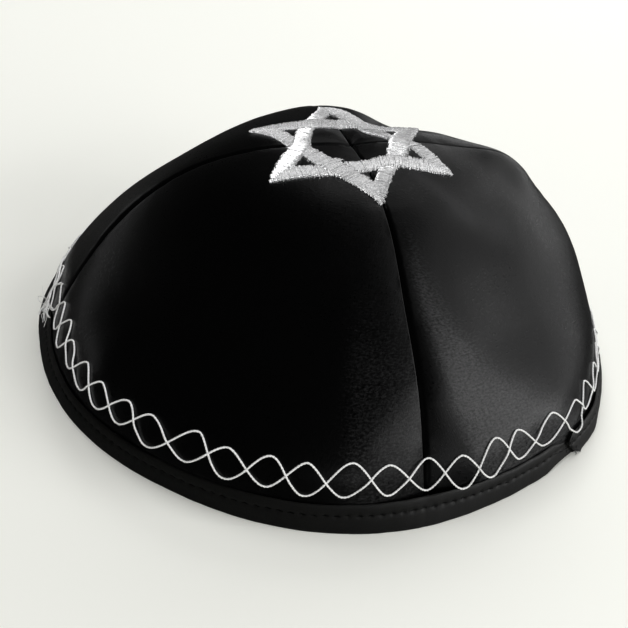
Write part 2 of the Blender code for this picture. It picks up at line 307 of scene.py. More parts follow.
def lifted(az, s, h, span=0.7):
    """Points at height h over the cloth with its relief, by the smooth normal there."""
    az, s = np.broadcast_arrays(np.asarray(az, float), np.asarray(s, float))
    r = np.maximum(np.interp(s, LEVEL, RADIUS), 2.0)
    da = np.degrees(span / r)
    ds = span / LENGTH
    p = cap(az, s, fine(az, s, cap(az, s)))
    a = cap(az + da, s) - cap(az - da, s)
    b = cap(az, s + ds) - cap(az, np.maximum(s - ds, 0.0))
    n = np.cross(a, b)
    n = n / np.linalg.norm(n, axis=-1)[..., None]
    n = np.where((n[..., 2] < 0)[..., None] & (s < 0.9)[..., None], -n, n)
    away = p * np.array([1, 1, 0])
    n = np.where((((n * away).sum(-1) < 0) & (s >= 0.9))[..., None], -n, n)
    return p + n * np.asarray(h, float)[..., None], n


# ------------------------------------------------------------------ meshes
pieces = {}


def add_mesh(name, verts, faces, mat, uv=None, sharp=None, merge=0.0, marks=None):
    mesh = bpy.data.meshes.new(name)
    verts = np.asarray(verts, float) + SHIFT
    mesh.from_pydata((verts * MM).tolist(), [], [list(map(int, f)) for f in faces])
    if uv is not None:
        layer = mesh.uv_layers.new(name="cloth_mm")
        index = np.zeros(len(mesh.loops), np.int32)
        mesh.loops.foreach_get("vertex_index", index)
        layer.data.foreach_set("uv", np.asarray(uv, np.float32)[index].ravel())
    # marks: per-point amounts of painted sheen and painted highlight streaks
    for mark, amounts in (marks or {}).items():
        sheen_layer = mesh.attributes.new(mark, "FLOAT", "POINT")
        sheen_layer.data.foreach_set("value", np.asarray(amounts, np.float32))
    mesh.materials.append(mat)
    mesh.validate()
    if merge:
        import bmesh
        bm = bmesh.new()
        bm.from_mesh(mesh)
        bmesh.ops.remove_doubles(bm, verts=bm.verts, dist=merge * MM)
        bmesh.ops.dissolve_degenerate(bm, edges=bm.edges, dist=1e-8)
        bm.to_mesh(mesh)
        bm.free()
    mesh.shade_smooth()
    if sharp:
        mesh.set_sharp_from_angle(angle=math.radians(sharp))
    obj = bpy.data.objects.new(name, mesh)
    bpy.context.scene.collection.objects.link(obj)
    pieces[name] = obj
    return obj


def grid_faces(n, m, wrap_n=False, wrap_m=False, start=0):
    i, j = np.meshgrid(np.arange(n if wrap_n else n - 1), np.arange(m if wrap_m else m - 1),
                       indexing="ij")
    i, j = i.ravel(), j.ravel()
    a, b = i * m + j, ((i + 1) % n) * m + j
    c, d = ((i + 1) % n) * m + (j + 1) % m, i * m + (j + 1) % m
    return np.stack([a, b, c, d], -1) + start


def tubes(paths, radius, sides=6, close=True):
    """Round tubes along many paths (count, points, 3) of one length. radius may vary by point."""
    p = np.asarray(paths, float)
    k, n, _ = p.shape
    t = np.gradient(p, axis=1)
    t /= np.linalg.norm(t, axis=-1)[..., None] + 1e-12
    up = np.zeros_like(p)
    up[..., 2] = 1
    up = np.where((np.abs(t[..., 2]) > 0.93)[..., None], np.array([1.0, 0, 0]), up)
    x = np.cross(t, up)
    x /= np.linalg.norm(x, axis=-1)[..., None] + 1e-12
    y = np.cross(x, t)
    r = np.broadcast_to(np.asarray(radius, float), (k, n))
    ang = np.arange(sides) * 2 * math.pi / sides
    ring = (p[:, :, None] + r[:, :, None, None] * (x[:, :, None] * np.cos(ang)[:, None]
                                                  + y[:, :, None] * np.sin(ang)[:, None]))
    verts = ring.reshape(-1, 3)
    base = grid_faces(n, sides, wrap_m=True)
    faces = [(base[None] + (np.arange(k) * n * sides)[:, None, None]).reshape(-1, 4)]
    out = [f for f in faces[0]]
    if close:
        for i in range(k):
            s0 = i * n * sides
            out.append(np.arange(sides)[::-1] + s0)
            out.append(np.arange(sides) + s0 + (n - 1) * sides)
    return verts, out


def long_tube(path, radius, sides=6):
    """One tube whose frame is carried along the path, so that it never twists."""
    p = np.asarray(path, float)
    n = len(p)
    t = np.gradient(p, axis=0)
    t /= np.linalg.norm(t, axis=1)[:, None]
    x = np.zeros_like(p)
    a = np.cross(t[0], [0.3, 0.2, 1.0])
    x[0] = a / np.linalg.norm(a)
    for i in range(1, n):
        v = x[i - 1] - t[i] * (x[i - 1] @ t[i])
        x[i] = v / np.linalg.norm(v)
    y = np.cross(t, x)
    ang = np.arange(sides) * 2 * math.pi / sides
    r = np.broadcast_to(np.asarray(radius, float), (n,))
    ring = p[:, None] + r[:, None, None] * (x[:, None] * np.cos(ang)[:, None]
                                            + y[:, None] * np.sin(ang)[:, None])
    faces = list(grid_faces(n, sides, wrap_m=True))
    faces += [np.arange(sides)[::-1], np.arange(sides) + (n - 1) * sides]
    return ring.reshape(-1, 3), faces, (x, y, t)


def join(parts):
    verts, faces, start = [], [], 0
    for v, f in parts:
        verts.append(v)
        faces += [np.asarray(q) + start for q in f]
        start += len(v)
    return np.concatenate(verts), faces


# ------------------------------------------------------------------ materials
def new_material(name):
    mat = bpy.data.materials.new(name)
    mat.use_nodes = True
    return mat, mat.node_tree.nodes, mat.node_tree.links, mat.node_tree.nodes["Principled BSDF"]


def node(nodes, kind, **values):
    n = nodes.new(kind)
    for k, v in values.items():
        if k in n.inputs:
            n.inputs[k].default_value = v
        else:
            setattr(n, k, v)
    return n


def satin_material(name, color, rough, weave=1.0, grain=1.0, coat=0.15, sheen_grey=0.0):
    """Black satin: warp floats as fine long cells, a slow mottle, soft sheen, and, if asked, a painted sheen
    and painted highlight streaks in its colour.
    """
    mat, nodes, links, bsdf = new_material(name)
    bsdf.inputs["Base Color"].default_value = (*color, 1)
    bsdf.inputs["Specular IOR Level"].default_value = 0.5
    bsdf.inputs["Sheen Weight"].default_value = 0.05
    bsdf.inputs["Sheen Roughness"].default_value = 0.35
    uv = node(nodes, "ShaderNodeUVMap", uv_map="cloth_mm")
    long_cells = node(nodes, "ShaderNodeMapping")
    long_cells.inputs["Scale"].default_value = (3.4, 0.75, 1)
    links.new(uv.outputs[0], long_cells.inputs["Vector"])
    floats = node(nodes, "ShaderNodeTexNoise", Scale=1.0, Detail=2.0, Roughness=0.55)
    links.new(long_cells.outputs[0], floats.inputs["Vector"])
    cross_cells = node(nodes, "ShaderNodeMapping")
    cross_cells.inputs["Scale"].default_value = (0.8, 2.2, 1)
    links.new(uv.outputs[0], cross_cells.inputs["Vector"])
    slubs = node(nodes, "ShaderNodeTexNoise", Scale=1.0, Detail=3.0, Roughness=0.6)
    links.new(cross_cells.outputs[0], slubs.inputs["Vector"])
    slow = node(nodes, "ShaderNodeTexNoise", Scale=0.045, Detail=2.0, Roughness=0.5)
    links.new(uv.outputs[0], slow.inputs["Vector"])
    both = node(nodes, "ShaderNodeMath", operation="ADD")
    links.new(floats.outputs["Fac"], both.inputs[0])
    links.new(slubs.outputs["Fac"], both.inputs[1])
    bump = node(nodes, "ShaderNodeBump", Strength=0.45 * weave, Distance=0.00007)
    links.new(both.outputs[0], bump.inputs["Height"])
    links.new(bump.outputs[0], bsdf.inputs["Normal"])
    # the floats' own gloss: sharper than the cloth's, and broken up by its grain
    bsdf.inputs["Coat Weight"].default_value = coat
    bsdf.inputs["Coat Roughness"].default_value = 0.15
    bsdf.inputs["Coat IOR"].default_value = 1.5
    rough_bump = node(nodes, "ShaderNodeBump", Strength=0.55 * weave, Distance=0.00009)
    links.new(both.outputs[0], rough_bump.inputs["Height"])
    links.new(rough_bump.outputs[0], bsdf.inputs["Coat Normal"])
    ramp = node(nodes, "ShaderNodeMapRange")
    ramp.inputs["From Min"].default_value = 0.7
    ramp.inputs["From Max"].default_value = 1.3
    ramp.inputs["To Min"].default_value = rough - 0.09 * grain
    ramp.inputs["To Max"].default_value = rough + 0.09 * grain
    links.new(both.outputs[0], ramp.inputs["Value"])
    drift = node(nodes, "ShaderNodeMath", operation="MULTIPLY_ADD")
    drift.inputs[1].default_value = 0.14
    links.new(slow.outputs["Fac"], drift.inputs[0])
    minus = node(nodes, "ShaderNodeMath", operation="SUBTRACT")
    links.new(ramp.outputs[0], minus.inputs[0])
    minus.inputs[1].default_value = 0.07
    links.new(minus.outputs[0], drift.inputs[2])
    links.new(drift.outputs[0], bsdf.inputs["Roughness"])
    tone = node(nodes, "ShaderNodeMix", data_type="RGBA")
    tone.inputs["A"].default_value = (*[c * 0.65 for c in color], 1)
    tone.inputs["B"].default_value = (*[c * 1.5 for c in color], 1)
    for i in tone.inputs:
        if i.name == "Factor" and i.type == "VALUE":
            links.new(floats.outputs["Fac"], i)
            break
    cloth_tone = next(o for o in tone.outputs if o.type == "RGBA")
    links.new(cloth_tone, bsdf.inputs["Base Color"])
    if sheen_grey:
        # painted sheen: where the satin reflects light its colour is painted pale in specks, ragged at the
        # zone's edge
        sheen_layer = node(nodes, "ShaderNodeAttribute", attribute_name="painted_sheen")
        speck_map = node(nodes, "ShaderNodeMapping")
        speck_map.inputs["Scale"].default_value = (1.1, 1.9, 1)
        links.new(uv.outputs[0], speck_map.inputs["Vector"])
        specks = node(nodes, "ShaderNodeTexNoise", Scale=1.0, Detail=4.0, Roughness=0.7)
        links.new(speck_map.outputs[0], specks.inputs["Vector"])
        blotch = node(nodes, "ShaderNodeTexNoise", Scale=0.16, Detail=2.0, Roughness=0.6)
        links.new(uv.outputs[0], blotch.inputs["Vector"])
        ragged = node(nodes, "ShaderNodeMath", operation="MULTIPLY_ADD")
        links.new(specks.outputs["Fac"], ragged.inputs[0])
        ragged.inputs[1].default_value = 5.5
        links.new(sheen_layer.outputs["Fac"], ragged.inputs[2])
        mixed = node(nodes, "ShaderNodeMath", operation="MULTIPLY_ADD")
        links.new(blotch.outputs["Fac"], mixed.inputs[0])
        mixed.inputs[1].default_value = 0.5
        links.new(ragged.outputs[0], mixed.inputs[2])
        zone = node(nodes, "ShaderNodeMapRange")
        zone.inputs["From Min"].default_value = 3.2
        zone.inputs["From Max"].default_value = 4.7
        links.new(mixed.outputs[0], zone.inputs["Value"])
        sheen_specks = node(nodes, "ShaderNodeMath", operation="MULTIPLY")
        links.new(zone.outputs[0], sheen_specks.inputs[0])
        links.new(sheen_layer.outputs["Fac"], sheen_specks.inputs[1])
        # painted highlight streaks add to the painted sheen
        streak = node(nodes, "ShaderNodeAttribute", attribute_name="painted_streak")
        amount = node(nodes, "ShaderNodeMath", operation="MULTIPLY_ADD")
        links.new(streak.outputs["Fac"], amount.inputs[0])
        amount.inputs[1].default_value = 0.5
        links.new(sheen_specks.outputs[0], amount.inputs[2])
        pale = node(nodes, "ShaderNodeMix", data_type="RGBA")
        for i in pale.inputs:
            if i.name == "A" and i.type == "RGBA":
                links.new(cloth_tone, i)
            elif i.name == "B" and i.type == "RGBA":
                i.default_value = (sheen_grey, sheen_grey, sheen_grey * 1.04, 1)
            elif i.name == "Factor" and i.type == "VALUE":
                links.new(amount.outputs[0], i)
        links.new(next(o for o in pale.outputs if o.type == "RGBA"), bsdf.inputs["Base Color"])
    return mat


def thread_material(name, dark, light, rough, pitch, spec=0.5, metal=0.0):
    """Thread: fine filaments along each strand, with a strand-to-strand shift."""
    mat, nodes, links, bsdf = new_material(name)
    bsdf.inputs["Specular IOR Level"].default_value = spec
    bsdf.inputs["Metallic"].default_value = metal
    geo = node(nodes, "ShaderNodeTexCoord")
    noise = node(nodes, "ShaderNodeTexNoise", Scale=pitch, Detail=3.0, Roughness=0.6)
    links.new(geo.outputs["Object"], noise.inputs["Vector"])
    ramp = node(nodes, "ShaderNodeValToRGB")
    ramp.color_ramp.elements[0].position = 0.3
    ramp.color_ramp.elements[0].color = (*dark, 1)
    ramp.color_ramp.elements[1].position = 0.7
    ramp.color_ramp.elements[1].color = (*light, 1)
    links.new(noise.outputs["Fac"], ramp.inputs["Fac"])
    links.new(ramp.outputs["Color"], bsdf.inputs["Base Color"])
    bump = node(nodes, "ShaderNodeBump", Strength=0.35, Distance=0.00005)
    fine_noise = node(nodes, "ShaderNodeTexNoise", Scale=pitch * 4, Detail=2.0)
    links.new(geo.outputs["Object"], fine_noise.inputs["Vector"])
    links.new(fine_noise.outputs["Fac"], bump.inputs["Height"])
    links.new(bump.outputs[0], bsdf.inputs["Normal"])
    span = node(nodes, "ShaderNodeMapRange")
    span.inputs["To Min"].default_value = rough - 0.08
    span.inputs["To Max"].default_value = rough + 0.10
    links.new(noise.outputs["Fac"], span.inputs["Value"])
    links.new(span.outputs[0], bsdf.inputs["Roughness"])
    return mat


# the panels' satin gets its painted sheen and painted highlight streaks in this pale grey
PANEL_SATIN = satin_material("panel_satin", (0.0012, 0.0013, 0.0015), 0.34, sheen_grey=0.115)
BAND_SATIN = satin_material("binding_satin", (0.0080, 0.0080, 0.0072), 0.58, weave=0.6, coat=0.0)
STAR_THREAD = thread_material("star_thread", (0.62, 0.62, 0.625), (0.95, 0.95, 0.95), 0.24, 1400,
                              metal=0.7)
STAR_PAD = thread_material("star_pad", (0.48, 0.48, 0.485), (0.64, 0.64, 0.64), 0.6, 900)
WHITE_THREAD = thread_material("white_thread", (0.70, 0.70, 0.69), (0.90, 0.90, 0.89), 0.5, 1500)
BLACK_THREAD = thread_material("black_thread", (0.0012, 0.0012, 0.0012), (0.003, 0.003, 0.003),
                               0.65, 1500, spec=0.2)

# ------------------------------------------------------------------ panels
PANEL_WALL = 0.9
TUCK_START, TUCK_END, PANEL_FOOT = 0.917, 0.931, 0.972
TUCK = 0.45


def seam_columns():
    """Columns across a panel, 0 to 1: fine at both seams, even between."""
    near = np.array([0, .15, .3, .48, .7, 1.0, 1.4, 1.9, 2.6, 3.5, 4.6]) / 125
    mid = np.linspace(near[-1], 1 - near[-1], 76)[1:-1]
    return np.concatenate([near, mid, 1 - near[::-1]])


def panel_rows():
    a = np.concatenate([[0, .0035, .007, .012], np.linspace(0.02, TUCK_START, 98)])
    return np.concatenate([a, np.linspace(TUCK_START, TUCK_END, 6)[1:],
                           np.linspace(TUCK_END, PANEL_FOOT, 6)[1:]])


def panel(name, first_seam, seed):
    u = seam_columns()
    s = panel_rows()
    uu, ss = np.meshgrid(np.clip(u, 1e-9, 1 - 1e-9), s)
    az = first_seam + uu * 90
    base = cap(az, ss)
    r = np.interp(ss, LEVEL, RADIUS)
    x0, x1 = r * np.radians(uu * 90), r * np.radians((1 - uu) * 90)
    near = np.minimum(x0, x1)
    out = fine(az, ss, base)
    # Sewing draws the cloth in beside each seam.
    g = np.random.default_rng(seed)
    y = ss * LENGTH
    for x, ph in ((x0, g.uniform(0, 6, 3)), (x1, g.uniform(0, 6, 3))):
        ripple = (np.sin(y / 1.15 + ph[0]) + 0.8 * np.sin(y / 1.9 + ph[1])
                  + 0.8 * np.sin(y / 0.72 + ph[2]))
        out += 0.045 * ripple * np.exp(-x / 3.0) * np.clip((x - 0.2) / 1.0, 0, 1)
    for x, seam_at, side in ((x0, first_seam, 1), (x1, (first_seam + 90) % 360, -1)):
        q = next((r for r in ROLLS if (r.seam, r.side) == (seam_at, side)), PLAIN_ROLL)
        width = 0.35 + (q.width - 0.35) * np.interp(ss, (0.20, 0.60), (0.35, 1.0))
        out += -q.depth * np.clip(1 - x / width, 0, 1) ** q.power
    tuck = np.clip((ss - TUCK_START) / (TUCK_END - TUCK_START), 0, 1)
    out += -TUCK * tuck * tuck * (3 - 2 * tuck)
    outer = cap(az, ss, out)
    inner_out = -PANEL_WALL - TUCK * tuck + 0.5 * fine(az, ss, base) - 0.35 * np.exp(-near / 1.5)
    inner = cap(az, ss, np.minimum(inner_out, out - 0.3))
    for d in (first_seam, first_seam + 90):
        way = np.array([math.sin(math.radians(d)), -math.cos(math.radians(d)), 0.0])
        for pts in (outer, inner):
            share = np.clip(1 - (pts @ way) / 57.0, 0, 1)
            pts += 0.05 * share[..., None] * way
    n, m = ss.shape
    verts = np.concatenate([outer.reshape(-1, 3), inner.reshape(-1, 3)])
    half = n * m
    top = grid_faces(n, m)
    faces = [f[::-1] for f in top] + [f + half for f in top]
    for i in range(n - 1):
        faces.append([i * m, (i + 1) * m, (i + 1) * m + half, i * m + half][::-1])
        e = m - 1
        faces.append([i * m + e, (i + 1) * m + e, (i + 1) * m + e + half, i * m + e + half])
    for j in range(m - 1):
        b = (n - 1) * m
        faces.append([b + j, b + j + 1, b + j + 1 + half, b + j + half][::-1])
    flat_x = np.radians((uu - 0.5) * 90) * r
    uv = np.stack([flat_x, y], -1).reshape(-1, 2) + seed * 40
    # painted sheen and painted highlight streaks, as point attributes
    marks = {"painted_sheen": np.tile(painted_sheen(az, ss).ravel(), 2),
             "painted_streak": np.tile(painted_streak(az, ss).ravel(), 2)}
    obj = add_mesh(name, verts, faces, PANEL_SATIN, uv=np.concatenate([uv, uv]),
                   sharp=60, merge=0.004, marks=marks)
    area = float(np.linalg.norm(np.cross(outer[1:, :-1] - outer[:-1, :-1],
                                         outer[:-1, 1:] - outer[:-1, :-1]), axis=-1).sum()) / 1e6
    return obj, area


# Each panel is cut as a gore: about 125 mm wide at the foot and 108 mm long.
for name, seam_at, seed in (("panel_front_right", 0, 11), ("panel_back_right", 90, 12),
                            ("panel_back_left", 180, 13), ("panel_front_left", 270, 14)):
    obj, area = panel("cloth_" + name, seam_at, seed)
    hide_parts(name)

# ------------------------------------------------------------------ binding
# The cut's line: how far round it lies at each level below the top edge.
CutRow = namedtuple("CutRow", "below azimuth")
CUT_LINE = [CutRow(*r) for r in (
    (-0.004, 36.4), (0.006, 35.0), (0.020, 34.7), (0.034, 35.4), (0.050, 36.8), (0.072, 39.6))]
BAND_TOP = 0.9295
CUT = 36.0              # azimuth of the overlapping end's cut
OVERLAP = 11.5          # degrees of rim that lie double
STITCH_LEVEL = BAND_TOP + 2.5 / LENGTH


def band_section():
    """Closed section as (level below the top edge, inward mm, face flag), going round."""
    rows = []
    # outer face, from the rolled top edge down to the fold
    rows += [(0.0005, 0.32, 0), (-0.0022, 0.16, 0), (-0.0034, -0.04, 0),
             (-0.0024, -0.24, 1), (0.0006, -0.36, 1), (0.0050, -0.41, 1), (0.011, -0.42, 1)]
    for v in np.linspace(0.24, 0.40, 8):
        rows.append((v * 0.0705, -0.42, 1))
    for v in np.linspace(0.45, 0.93, 9):
        rows.append((v * 0.0705, -0.42 - 0.06 * math.sin(math.pi * (v - 0.40) / 0.6), 1))
    # the fold at the foot
    for a in np.linspace(12, 168, 9):
        c, q = math.cos(math.radians(a)), math.sin(math.radians(a))
        rows.append((0.0675 + 0.0050 * q, 0.775 - 1.20 * c, 2))
    # inner face, up to its top edge, and down into the groove
    for v in np.linspace(0.90, 0.22, 8):
        rows.append((v * 0.0705, 1.98, 0))
    rows += [(0.0125, 1.90, 0), (0.0115, 1.65, 0), (0.0135, 1.45, 0)]
    for v in np.linspace(0.35, 0.70, 4):
        rows.append((v * 0.0705, 1.42, 0))
    rows += [(0.052, 1.2, 0), (0.053, 0.7, 0), (0.052, 0.33, 0)]
    for v in np.linspace(0.65, 0.15, 5):
        rows.append((v * 0.0705, 0.32, 0))
    return np.array(rows)


def lump(x, a):
    """Smooth random curve along the rim, about 1 in size."""
    g = np.random.default_rng(a)
    out = 0
    for k in (9, 14, 23, 37, 61, 95):
        out = out + np.sin(np.radians(x) * k + g.uniform(0, 6.28)) * (1.5 / math.sqrt(k) * 1.2)
    return out


def ease(x):
    x = np.clip(x, 0, 1)
    return x * x * (3 - 2 * x)


SECTION = band_section()
STITCH_PITCH = 2.55     # mm from one running stitch to the next
FOOT_WALK = np.append(0, np.cumsum(np.linalg.norm(np.diff(
    cap(np.linspace(0, 540, 2161), np.full(2161, 0.953)), axis=0), axis=1)))


def walk_of(t):
    return np.interp(t, np.linspace(0, 540, 2161), FOOT_WALK)


def band_points(t, level, inward, flag):
    """Points of the binding. t runs from CUT, on top, once round and under itself."""
    above = (1 - ease((t - CUT - OVERLAP + 1.5) / 9.0)) * 0.62
    under = ease((t - (360 + CUT - 9.0)) / 6.0)
    lie = t % 360
    wander = 0.0009 * lump(lie, 5) * (1 - 0.5 * under)
    # the lower layer's top edge dips away before it goes under the upper one
    dip = 0.019 * ease((t - (360 + 29.0)) / 5.5)
    # the upper layer's groove is deeper, so that the lower layer's fold fits in it
    groove = (level > 0.0515) & (level < 0.0535) & (inward > 0.3) & (inward < 1.3)
    s = BAND_TOP + level + (wander + dip * np.clip(1 - level / 0.0705, 0, 1)) * (level < 0.055)
    s = s + groove * 0.0095 * above / 0.62
    line = np.interp(level, [r.below for r in CUT_LINE], [r.azimuth for r in CUT_LINE])
    az = t + (line - CUT) * np.clip(1 - (t - CUT) / 9.0, 0, 1) ** 1.5
    puff = 0.07 * lump(lie, 6) + 0.04 * lump(lie * 1.7, 8)
    walk = walk_of(t)
    near = np.exp(-0.5 * ((s - STITCH_LEVEL) * LENGTH / 0.40) ** 2)
    hole = 0.5 + 0.5 * np.cos(2 * math.pi * walk / STITCH_PITCH)
    dent = near * (0.10 + 0.30 * hole ** 4)
    face = np.where(flag >= 1, 1.0, 0.0)
    outside = np.clip((1.0 - inward) / 0.4, -1, 1)
    out = -inward + face * (puff * 0.8 - dent) + outside * above - 0.35 * under * (outside > 0)
    # the end is pressed thin at its cut, and its lower corner curls out a little
    end = np.exp(-(t - CUT) / 1.1) * (t < CUT + 8)
    out = out - face * 0.22 * end * (level < 0.05) + face * 0.35 * end * np.clip((level - 0.045) / 0.02, 0, 1)
    p = cap(az, np.minimum(s, 1.0))
    way = p * np.array([1.0, 1.0, 0.0])
    way /= np.linalg.norm(way, axis=-1)[..., None]
    # below the foot of the cloth the section goes on along its slope
    extra = np.maximum(s - 1.0, 0) * LENGTH
    p = p + way * (out[..., None]) + extra[..., None] * (way * 0.3 - np.array([0, 0, 0.95]))
    p[..., 2] = np.maximum(p[..., 2], 0.05 + 1.25 * under)
    return p


def binding():
    t = np.arange(CUT, CUT + 360 + OVERLAP, 0.34)
    tt, kk = np.meshgrid(t, np.arange(len(SECTION)), indexing="ij")
    row = SECTION[kk.astype(int)]
    pts = band_points(tt, row[..., 0], row[..., 1], row[..., 2])
    n, m = tt.shape
    faces = [f for f in grid_faces(n, m, wrap_m=True)]
    faces.append(np.arange(m)[::-1])
    faces.append(np.arange(m) + (n - 1) * m)
    walk = walk_of(tt)
    uv = np.stack([row[..., 0] * LENGTH + row[..., 1], walk], -1).reshape(-1, 2) + 300
    return add_mesh("binding", pts.reshape(-1, 3), faces, BAND_SATIN, uv=uv, sharp=55)


band = binding()
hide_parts("rim_band", "band_end")

# ------------------------------------------------------------------ running stitch
def running_stitch():
    total = walk_of(CUT + 360) - walk_of(CUT)
    count = int(total / STITCH_PITCH)
    a = np.linspace(0, 540, 2161)
    paths = []
    g = np.random.default_rng(21)
    for i in range(count):
        mid = walk_of(CUT) + (i + 0.5) * STITCH_PITCH + 0.6
        half = STITCH_PITCH * (0.37 + 0.03 * g.normal())
        w = np.linspace(-1, 1, 7)
        t = np.interp(mid + w * half, FOOT_WALK, a)
        s = STITCH_LEVEL + (0.10 * g.normal() + 0.06 * w * g.normal()) / LENGTH
        level = s - BAND_TOP
        p = band_points(t, np.broadcast_to(level, t.shape), np.full(t.shape, -0.42),
                        np.ones(t.shape))
        way = p * np.array([1.0, 1.0, 0.25])
        way /= np.linalg.norm(way, axis=-1)[:, None]
        paths.append(p + way * (0.02 - 0.24 * w[:, None] ** 4))
    verts, faces = tubes(np.array(paths), 0.13, 6)
    return add_mesh("running_stitch", verts, faces, BLACK_THREAD)


stitch = running_stitch()

# ------------------------------------------------------------------ wave stitch
# One row for each eye of the chain that was read off the front of the cap: where
# the lower and the upper thread turn.
EyeRow = namedtuple("EyeRow", "az_low level_low az_high level_high")
EYES = [EyeRow(*r) for r in (
    (-93.0, .917, -94.6, .850), (-84.5, .900, -84.9, .829), (-78.3, .899, -77.4, .819),
    (-71.0, .892, -73.0, .838), (-65.1, .899, -65.4, .836), (-59.6, .901, -59.8, .843),
    (-54.1, .898, -53.0, .841), (-47.6, .908, -47.8, .841), (-40.3, .899, -39.0, .832),
    (-33.5, .906, -33.6, .842), (-27.1, .901, -26.6, .838), (-21.0, .908, -20.8, .840),
    (-14.8, .906, -13.4, .834), (-7.3, .908, -7.1, .843), (0.26, .917, 0.66, .8455),
    (6.9, .926, 7.0, .851), (13.0, .920, 14.6, .835), (20.0, .907, 20.0, .837),
    (27.3, .909, 30.1, .843), (37.9, .933, 38.9, .859), (43.3, .910, 45.1, .848),
    (50.0, .908, 53.6, .856), (57.2, .906, 60.8, .851))]


def all_eyes():
    """The charted eyes, and even ones with small slips for the rest of the way round."""
    g = np.random.default_rng(31)
    rows = list(EYES)
    start, end = rows[-1].az_low, rows[0].az_low + 360
    count = int(round((end - start) / 6.9))
    if (len(rows) + count - 1) % 2:     # both threads have to meet their own beginning
        count += 1
    for i in range(1, count):
        a = start + (end - start) * i / count
        rows.append(EyeRow(a + g.normal() * 0.35, .909 + g.normal() * .004,
                           a + g.normal() * 0.45, .843 + g.normal() * .004))
    return rows


ALL_EYES = all_eyes()


def wave_path(first):
    """A thread that turns low at every other eye, beginning low if first is 0.

    Between two turns it runs straight, and each turn is drawn round a needle hole.
    """
    n = len(ALL_EYES)
    az, lv = [], []
    for i in range(n + 1):
        e = ALL_EYES[i % n]
        round_by = 360 * (i // n)
        if (i + first) % 2 == 0:
            az.append(e.az_low + round_by)
            lv.append(e.level_low)
        else:
            az.append(e.az_high + round_by)
            lv.append(e.level_high)
    g = np.random.default_rng(33 + first)
    out = []
    steps = 46
    v = np.linspace(0, 1, steps, endpoint=False)
    turns = g.uniform(0.27, 0.36, n + 1)
    turns[-1] = turns[0]
    for i in range(n):
        a0, a1, l0, l1 = az[i], az[i + 1], lv[i], lv[i + 1]
        b = ((1 - v) ** 3 * a0 + 3 * (1 - v) ** 2 * v * (a0 + (a1 - a0) * turns[i])
             + 3 * (1 - v) * v ** 2 * (a1 - (a1 - a0) * turns[i + 1]) + v ** 3 * a1)
        lean = 0.0
        level = ((1 - v) ** 3 * l0 + 3 * (1 - v) ** 2 * v * (l0 + lean)
                 + 3 * (1 - v) * v ** 2 * (l1 - lean) + v ** 3 * l1)
        rise = l1 < l0
        over = np.exp(-0.5 * ((v - 0.5) / 0.10) ** 2)
        ends = np.exp(-0.5 * (np.minimum(v, 1 - v) / 0.05) ** 2)
        h = 0.33 + (0.40 if (rise ^ bool((i // 2) % 2)) else -0.03) * over - 0.10 * ends
        out.append(np.stack([b, level, h], -1))
    return np.concatenate(out)


def over_band(az, s):
    """How much the binding stands over the cloth at a point, for what crosses it."""
    above = ease((az - CUT + 1.0) / 1.5) * (1 - ease((az - CUT - OVERLAP + 1.5) / 9.0))
    return ease((s - 0.907) / 0.022) * (0.40 + 0.50 * above)


def twisted(path, radius, lay, sides=5, plies=2):
    """Plies laid round a path, so that it looks like spun thread."""
    n = len(path)
    _, _, (x, y, _) = long_tube(path, 0.1, 3)
    walk = np.append(0, np.cumsum(np.linalg.norm(np.diff(path, axis=0), axis=1)))
    parts = []
    for k in range(plies):
        a = 2 * math.pi * (walk / lay + k / plies)
        ply = path + radius * 0.36 * (x * np.cos(a)[:, None] + y * np.sin(a)[:, None])
        v, f, _ = long_tube(ply, radius * 0.72, sides)
        parts.append((v, f))
    return join(parts)


def even(path, step):
    walk = np.append(0, np.cumsum(np.linalg.norm(np.diff(path, axis=0), axis=1)))
    w = np.linspace(0, walk[-1], int(walk[-1] / step) + 1)
    return np.stack([np.interp(w, walk, path[:, i]) for i in range(3)], -1)


for k, name in ((0, "wave_thread_a"), (1, "wave_thread_b")):
    row = wave_path(k)
    az, s, h = row.T
    pts, normal = lifted(az, s, h + over_band(turn(az), s))
    # at the front seam the thread spans the gap, and doesn't follow it down
    ground = cap(az, s)
    rise = pts - ground
    weights = np.hanning(19)[1:-1] / np.hanning(19).sum()
    spread = np.stack([np.convolve(np.pad(rise[:, i], 8, mode="wrap"), weights, "valid")
                       for i in range(3)], -1) + 0.22 * normal
    near_seam = np.exp(-(turn(az) / 5.0) ** 2)[:, None]
    pts = ground + rise * (1 - near_seam) + spread * near_seam
    pts = even(np.concatenate([pts, pts[:1]]), 0.27)
    g = np.random.default_rng(40 + k)
    pts += 0.025 * np.stack([np.sin(np.arange(len(pts)) / g.uniform(6, 9) + g.uniform(0, 6))
                             for _ in range(3)], -1)
    verts, faces = twisted(pts, 0.24, 1.5)
    obj = add_mesh(name, verts, faces, WHITE_THREAD)

# ------------------------------------------------------------------ star
STAR_RADIUS, STAR_BAR = 28.0, 4.7
OUT_EDGE = STAR_RADIUS / 2
IN_EDGE = OUT_EDGE - STAR_BAR
TAN60 = math.tan(math.radians(60))

